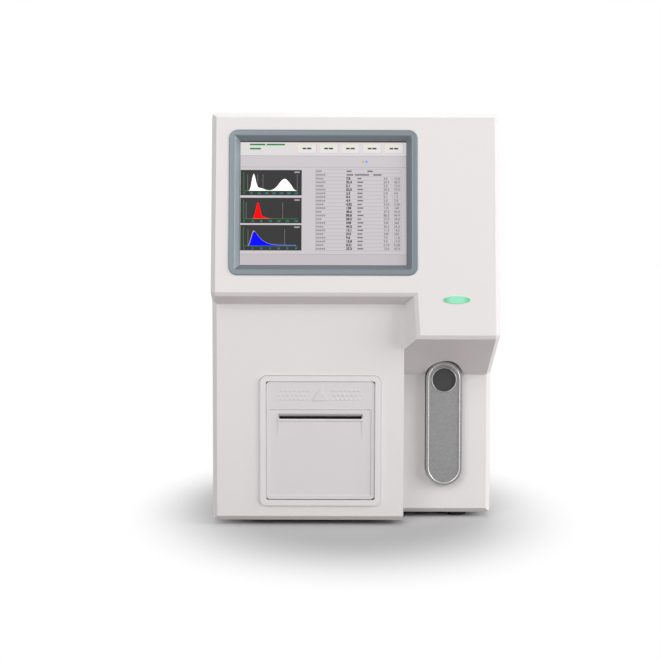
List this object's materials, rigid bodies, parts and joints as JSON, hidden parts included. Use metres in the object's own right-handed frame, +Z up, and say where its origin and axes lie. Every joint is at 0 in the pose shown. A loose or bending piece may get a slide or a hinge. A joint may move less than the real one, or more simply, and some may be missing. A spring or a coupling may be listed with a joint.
{
  "type": "differential cell counter",
  "caption": "Bench differential cell counter: leaning head with display, printer drawer front and a sampling bay with a long press key.",
  "frame": {"origin": "on the bench under the centre of the outer box", "axes": "+Z up, -Y towards the user, +X to the user's right"},
  "size_m": [0.2956, 0.3789, 0.429],
  "materials": {
    "moulding": "satin",
    "sheet": "fine texture paint",
    "bezel": "satin",
    "glass": "clear",
    "lamp": "milky green",
    "printer_ring": "satin",
    "printer_plate": "satin",
    "silver": "silver metallic paint",
    "black": "satin",
    "steel": "brushed",
    "zinc": "satin",
    "rubber": "matt",
    "paper": "matt",
    "card": "matt",
    "circuit": "satin",
    "clear": "clear moulding",
    "white_plastic": "satin",
    "brass": "machined"
  },
  "bodies": {
    "instrument": {"air_pump": "zinc", "base_pan": "sheet", "bath_tray": "steel", "case_cover": "sheet", "case_screws": "steel", "counting_baths": "clear", "deck_plate": "zinc", "display_board": "circuit", "fan_frame": "black", "fan_guard": "steel", "feet": "rubber", "front_cover": "moulding", "guide_rods": "steel", "key_bracket": "steel", "key_switch": "black", "lamp_board": "circuit", "lamp_lens": "lamp", "lcd_bracket": "zinc", "lcd_panel": "black", "main_board": "circuit", "needle_frame": "zinc", "needle_guide": "steel", "needle_motor": "black", "needle_port": "black", "paper_spindle": "printer_ring", "power_inlet": "black", "power_supply": "zinc", "print_chassis": "steel", "print_head": "zinc", "print_motor": "steel", "printer_frame": "printer_ring", "pump_housing": "black", "reagent_spigots": "white_plastic", "rear_panel": "sheet", "screen_bezel": "bezel", "sensor_socket": "brass", "serial_port": "steel", "solenoid_valves": "black", "switch_frame": "black", "syringe_barrels": "clear", "syringe_block": "clear", "touch_glass": "glass", "usb_port": "steel", "valve_manifold": "clear", "waste_chamber": "white_plastic", "waste_spigot": "white_plastic"},
    "door": {"printer_door": "printer_plate"},
    "platen": {"platen_roller": "rubber", "platen_gear": "white_plastic"},
    "pinion": {"motor_pinion": "brass"},
    "paper": {"paper_roll": "paper", "paper_core": "card"},
    "key": {"aspirate_key": "silver"},
    "carriage": {"needle_carriage": "white_plastic", "sample_needle": "steel"},
    "screw": {"lead_screw": "steel"},
    "plungers": {"syringe_plungers": "white_plastic"},
    "rotor": {"pump_rotor": "white_plastic"},
    "fan": {"fan_rotor": "black"},
    "switch": {"power_switch": "black"}
  },
  "joints": [
    {"name": "door_hinge", "type": "hinge", "parent": "instrument", "child": "door", "pos_m": [-0.0354, -0.15579, 0.0305], "axis": [1, 0, 0], "range_deg": [0, 80]},
    {"name": "platen_spin", "type": "hinge", "parent": "instrument", "child": "platen", "pos_m": [-0.0354, -0.14241, 0.11207], "axis": [1, 0, 0], "continuous": true},
    {"name": "pinion_spin", "type": "hinge", "parent": "instrument", "child": "pinion", "pos_m": [-0.0354, -0.12772, 0.11264], "axis": [1, 0, 0], "continuous": true},
    {"name": "paper_spin", "type": "hinge", "parent": "instrument", "child": "paper", "pos_m": [-0.0354, -0.11789, 0.07299], "axis": [1, 0, 0], "continuous": true},
    {"name": "key_press", "type": "hinge", "parent": "instrument", "child": "key", "pos_m": [0.0968, -0.09915, 0.15], "axis": [1, 0, 0], "range_deg": [0, 2], "stiffness_Nm_per_rad": 1.5, "springref_deg": -1.72},
    {"name": "needle_slide", "type": "slide", "parent": "instrument", "child": "carriage", "axis": [0, 0, -1], "range_m": [0, 0.11]},
    {"name": "screw_spin", "type": "hinge", "parent": "instrument", "child": "screw", "pos_m": [0.0968, -0.0999, 0.2055], "axis": [0, 0, 1], "continuous": true},
    {"name": "plunger_slide", "type": "slide", "parent": "instrument", "child": "plungers", "axis": [0, 0, 1], "range_m": [0, 0.0395]},
    {"name": "pump_spin", "type": "hinge", "parent": "instrument", "child": "rotor", "pos_m": [-0.02, -0.0144, 0.1555], "axis": [0, 1, 0], "continuous": true},
    {"name": "fan_spin", "type": "hinge", "parent": "instrument", "child": "fan", "pos_m": [0.08, 0.1616, 0.3405], "axis": [0, 1, 0], "continuous": true},
    {"name": "switch_rock", "type": "hinge", "parent": "instrument", "child": "switch", "pos_m": [0.05, 0.1716, 0.0605], "axis": [1, 0, 0], "range_deg": [0, 16]}
  ],
  "couplings": [
    {"joint": "pinion_spin", "follows": "platen_spin", "ratio": -2},
    {"joint": "screw_spin", "follows": "needle_slide", "rad_per_m": 785.4}
  ]
}
